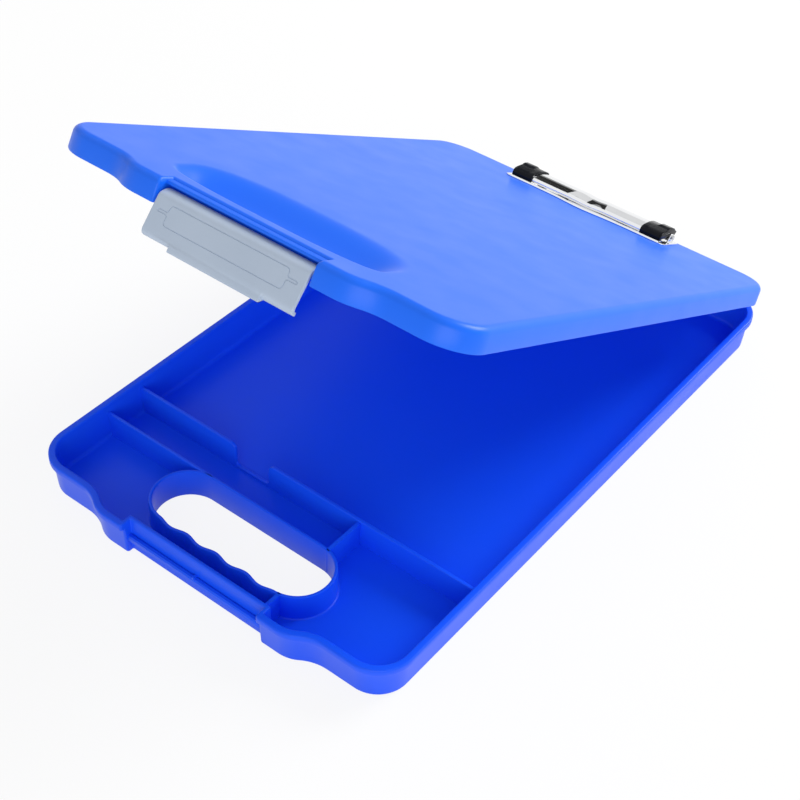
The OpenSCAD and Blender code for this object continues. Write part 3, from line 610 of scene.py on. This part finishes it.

# %% [markdown]
# ## Blue plastic
# The box is deeply coloured plastic with a soft shine. The tray is given a darker, less green blue than the
# board: that is painted shade, for the shade that the raised lid casts into the tray. Real moulded plastic
# is never one flat colour: the pigment varies slightly over a hand's width, the polish varies in soft
# patches, and the skin has a fine ripple like the peel of an orange. A painted picture could carry that, but
# would need the mesh unwrapped. Three noise textures on the object's own coordinates give the same and fit
# any shape.
# The latch and the caps are made with the same function.

# %% A material for moulded plastic
def grainy(tree, coords, scale, detail, stretch=(1, 1, 1)):
    spread = tree.nodes.new("ShaderNodeMapping")
    spread.inputs["Scale"].default_value = stretch
    noise = tree.nodes.new("ShaderNodeTexNoise")
    noise.inputs["Scale"].default_value = scale
    noise.inputs["Detail"].default_value = detail
    tree.links.new(coords, spread.inputs["Vector"])
    tree.links.new(spread.outputs["Vector"], noise.inputs["Vector"])
    return noise.outputs["Fac"]


def between(tree, value, low, high):
    span = tree.nodes.new("ShaderNodeMapRange")
    span.inputs["From Min"].default_value = 0.3
    span.inputs["From Max"].default_value = 0.7
    span.inputs["To Min"].default_value = low
    span.inputs["To Max"].default_value = high
    tree.links.new(value, span.inputs["Value"])
    return span.outputs["Result"]


def finish_material(name, dark, light, polish, ripple, ripple_scale, patch_scale, metal=0.0, shine=0.5,
                    stretch=(1, 1, 1)):
    material = bpy.data.materials.new(name)
    material.use_nodes = True
    tree = material.node_tree
    shader = tree.nodes["Principled BSDF"]
    coords = tree.nodes.new("ShaderNodeTexCoord").outputs["Object"]
    tint = tree.nodes.new("ShaderNodeMix")
    tint.data_type = "RGBA"
    tint.inputs["A"].default_value = (*dark, 1)
    tint.inputs["B"].default_value = (*light, 1)
    tree.links.new(between(tree, grainy(tree, coords, patch_scale, 3), 0, 1), tint.inputs["Factor"])
    tree.links.new(tint.outputs["Result"], shader.inputs["Base Color"])
    tree.links.new(between(tree, grainy(tree, coords, patch_scale * 9, 4, stretch), *polish),
                   shader.inputs["Roughness"])
    bump = tree.nodes.new("ShaderNodeBump")
    bump.inputs["Strength"].default_value = ripple
    bump.inputs["Distance"].default_value = 0.0002
    tree.links.new(grainy(tree, coords, ripple_scale, 2, stretch), bump.inputs["Height"])
    tree.links.new(bump.outputs["Normal"], shader.inputs["Normal"])
    shader.inputs["Metallic"].default_value = metal
    shader.inputs["Specular IOR Level"].default_value = shine
    return material


# The tray's darker, less green pigment is painted shade: it stands in for the shade under the raised lid.
tray_blue_painted_shade = finish_material("blue_tray_plastic", dark=(0.006, 0.085, 0.86), light=(0.007, 0.095, 0.90),
                            polish=(0.34, 0.40), ripple=0.05, ripple_scale=900, patch_scale=5, shine=0.22)
blue_lid = finish_material("blue_lid_plastic", dark=(0.006, 0.137, 0.88), light=(0.007, 0.148, 0.91),
                           polish=(0.34, 0.40), ripple=0.05, ripple_scale=900, patch_scale=5, shine=0.28)
grey_latch = finish_material("grey_latch_plastic", dark=(0.42, 0.50, 0.62), light=(0.45, 0.53, 0.65),
                             polish=(0.38, 0.46), ripple=0.10, ripple_scale=1100, patch_scale=20, shine=0.35)
black_cap = finish_material("black_cap_plastic", dark=(0.003, 0.0035, 0.006), light=(0.006, 0.007, 0.011),
                            polish=(0.10, 0.16), ripple=0.2, ripple_scale=1500, patch_scale=60, shine=0.12)
print("plastics:", [m.name for m in (tray_blue_painted_shade, blue_lid, grey_latch, black_cap)])

# %% [markdown]
# ## Bright steel
# The clip is chrome plated, so nearly all of its look is what it mirrors. The springs, pins and washers are
# plain drawn steel. A separate shader tree for metal isn't needed: the plastic's function makes both, with
# Metallic at 1, another polish, and its noise drawn out across the clip like the marks of rolling.

# %% The metals
chrome = finish_material("clip_chrome_plate", dark=(0.80, 0.81, 0.83), light=(0.88, 0.89, 0.90),
                         polish=(0.03, 0.05), ripple=0.02, ripple_scale=500, patch_scale=30,
                         metal=1.0, stretch=(0.06, 1, 1))
steel = finish_material("drawn_steel", dark=(0.52, 0.53, 0.55), light=(0.62, 0.63, 0.65),
                        polish=(0.22, 0.34), ripple=0.2, ripple_scale=1400, patch_scale=60,
                        metal=1.0, stretch=(0.1, 1, 1))
finishes = [(tray_piece, tray_blue_painted_shade), (lid_piece, blue_lid), (latch_piece, grey_latch), (plate_piece, chrome),
            (arm_piece, chrome), (cap_left, black_cap), (cap_right, black_cap)]
for piece, material in finishes:
    piece.data.materials.append(material)
print("pieces with their finish:", len(finishes))

# %% [markdown]
# ## The small steel parts
# Pins, rod, springs, rivets and washers are round and plain, and hardly show. The construction model's own
# solids look right for them, so they are kept and only get their finish.

# %% Finishes on the kept parts
kept_nodes = {"hinge_pin_left": steel, "hinge_pin_right": steel, "clip_hinge_rod": steel,
              "clip_spring_left": steel, "clip_spring_right": steel, "clip_rivet_left": chrome,
              "clip_rivet_right": chrome, "rivet_washer_left": steel, "rivet_washer_right": steel}
for name, material in kept_nodes.items():
    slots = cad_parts[name].material_slots
    for index in range(len(slots)):
        slots[index].material = material
    print(name, "material slots:", len(slots))

# %% [markdown]
# ## A white floor
# The object lies on white with hardly a shadow. Strong lamps on a white floor could do that, but they would
# bleach the plastic too. So the floor is a matt white that also glows a little to the camera and to
# reflections. It stays white there, and the rest of it still takes the soft shadow.

# %% Small sums in a node tree
def maths(tree, operation, *values):
    node = tree.nodes.new("ShaderNodeMath")
    node.operation = operation
    for socket, value in zip(node.inputs, values):
        if isinstance(value, bpy.types.NodeSocket):
            tree.links.new(value, socket)
        else:
            socket.default_value = value
    return node.outputs[0]


def seen_directly(tree):
    path = tree.nodes.new("ShaderNodeLightPath")
    total = path.outputs["Is Camera Ray"]
    for ray in ("Is Glossy Ray", "Is Transmission Ray"):
        total = maths(tree, "MAXIMUM", total, path.outputs[ray])
    return total


# %% The floor
FLOOR_HALF, GLOW_SHARE = 8, 0.88
floor_bm = bmesh.new()
bmesh.ops.create_grid(floor_bm, x_segments=2, y_segments=2, size=FLOOR_HALF)
floor_mesh = bpy.data.meshes.new("floor")
floor_bm.to_mesh(floor_mesh)
floor_bm.free()
floor = bpy.data.objects.new("floor", floor_mesh)
bpy.context.scene.collection.objects.link(floor)

floor_white = bpy.data.materials.new("floor_white")
floor_white.use_nodes = True
tree = floor_white.node_tree
tree.nodes.remove(tree.nodes["Principled BSDF"])
matt = tree.nodes.new("ShaderNodeBsdfDiffuse")
matt.inputs["Color"].default_value = (0.9, 0.9, 0.9, 1)
glow = tree.nodes.new("ShaderNodeEmission")
glow.inputs["Strength"].default_value = 1.0
blend = tree.nodes.new("ShaderNodeMixShader")
tree.links.new(maths(tree, "MULTIPLY", seen_directly(tree), GLOW_SHARE), blend.inputs["Fac"])
tree.links.new(matt.outputs["BSDF"], blend.inputs[1])
tree.links.new(glow.outputs["Emission"], blend.inputs[2])
tree.links.new(blend.outputs["Shader"], tree.nodes["Material Output"].inputs["Surface"])
floor.data.materials.append(floor_white)
print("floor, metres:", 2 * FLOOR_HALF)

# %% [markdown]
# ## A white world with dark cards
# The world is white where it is looked at, and a quiet fill where it lights, a little weaker from above.
# Dark cards are the studio's trick for bright metal: without something dark to mirror, chrome looks like
# white paint. They could be black planes, but those would also shade the box. Here they are directions in
# the world that reflections alone see: a wide grey card behind the box, which also takes the sheen off the
# hollow in the board, with a paler slit in it, and a small black card that draws the clip's dark streaks.

# %% The world
FILL_SIDE, FILL_DROP = 0.62, 0.10
GREY_SLOPE, GREY_SPREAD, GREY_SHARE = math.radians(27), math.radians(25), 0.7
BLACK_SLOPE, BLACK_SPREAD, DARKEST = math.radians(40), math.radians(32), 0.97
SLIT_X, SLIT_W, SLIT_SHARE = -0.370, 0.026, 0.5
BLACK_X, BLACK_W = -0.412, 0.016

world = bpy.data.worlds.new("white_studio")
bpy.context.scene.world = world
world.use_nodes = True
tree = world.node_tree
back = tree.nodes["Background"]
back.inputs["Color"].default_value = (1, 1, 1, 1)
towards = tree.nodes.new("ShaderNodeSeparateXYZ")
tree.links.new(tree.nodes.new("ShaderNodeTexCoord").outputs["Generated"], towards.inputs["Vector"])
fill = maths(tree, "MULTIPLY_ADD", maths(tree, "MAXIMUM", towards.outputs["Z"], 0.0), -FILL_DROP, FILL_SIDE)
slope = maths(tree, "ARCTAN2", towards.outputs["Z"], towards.outputs["Y"])
slit = maths(tree, "MULTIPLY", maths(tree, "COMPARE", towards.outputs["X"], SLIT_X, SLIT_W), SLIT_SHARE)
grey_card = maths(tree, "MULTIPLY", maths(tree, "COMPARE", slope, GREY_SLOPE, GREY_SPREAD),
                  maths(tree, "SUBTRACT", GREY_SHARE, slit))
black_card = maths(tree, "MULTIPLY", maths(tree, "COMPARE", slope, BLACK_SLOPE, BLACK_SPREAD),
                   maths(tree, "COMPARE", towards.outputs["X"], BLACK_X, BLACK_W))
cards = maths(tree, "MULTIPLY", maths(tree, "MAXIMUM", grey_card, black_card), DARKEST)
glossy = tree.nodes.new("ShaderNodeLightPath").outputs["Is Glossy Ray"]
mirrored = maths(tree, "SUBTRACT", 1.0, maths(tree, "MULTIPLY", cards, glossy))
seen = seen_directly(tree)
lighting = maths(tree, "MULTIPLY", fill, maths(tree, "SUBTRACT", 1.0, seen))
tree.links.new(maths(tree, "ADD", maths(tree, "MULTIPLY", seen, mirrored), lighting), back.inputs["Strength"])
print("world as light:", FILL_SIDE, "at the side,", round(FILL_SIDE - FILL_DROP, 2), "overhead; as seen: 1.0")

# %% [markdown]
# ## Lamps
# Two large soft lamps do the modelling. One stands behind the box: the raised board leans towards it and
# gets most of its light, while the hollow, the ledge and the tray under the lid turn away and stay deep.
# The other stands low in front on the right and keeps the rolled edges and side walls bright. Small lamps
# would give the same light but hard shadows, and a picture of a studio as the world would need a file.

# %% Lamps
def soft_lamp(name, place, target, size, power):
    light = bpy.data.lights.new(name, "AREA")
    light.shape = "DISK"
    light.size = size
    light.energy = power
    lamp = bpy.data.objects.new(name, light)
    bpy.context.scene.collection.objects.link(lamp)
    lamp.location = place
    lamp.rotation_euler = (Vector(target) - Vector(place)).to_track_quat("-Z", "Y").to_euler()
    return lamp


LID_MIDDLE = (0, 0, 0.1)
soft_lamp("key_lamp", (0.8, 1.9, 1.4), LID_MIDDLE, size=1.3, power=56)
soft_lamp("fill_lamp", (1.2, -1.8, 0.5), LID_MIDDLE, size=1.9, power=23)

# %% [markdown]
# ## The camera
# The camera stands where the photographer stood: in front and to the right, looking down on the box. It
# could be placed by eye, but then nothing would lie over the photograph. Its place, turn and lens come from
# the box's straight edges, whose real directions are known.

# %% Camera
camera_data = bpy.data.cameras.new("camera")
camera_data.sensor_width = 36.0
camera_data.lens = 70.428066
camera_data.clip_start = 0.01
camera = bpy.data.objects.new("camera", camera_data)
bpy.context.scene.collection.objects.link(camera)
camera.location = (0.40158758, -0.5622882, 0.63645318)
camera.rotation_euler = [math.radians(a) for a in (47.56501827, -1.99579857, 38.18371646)]
bpy.context.scene.camera = camera
bpy.context.scene.view_settings.view_transform = "Standard"
print("camera height, mm:", round(camera.location.z * 1000))
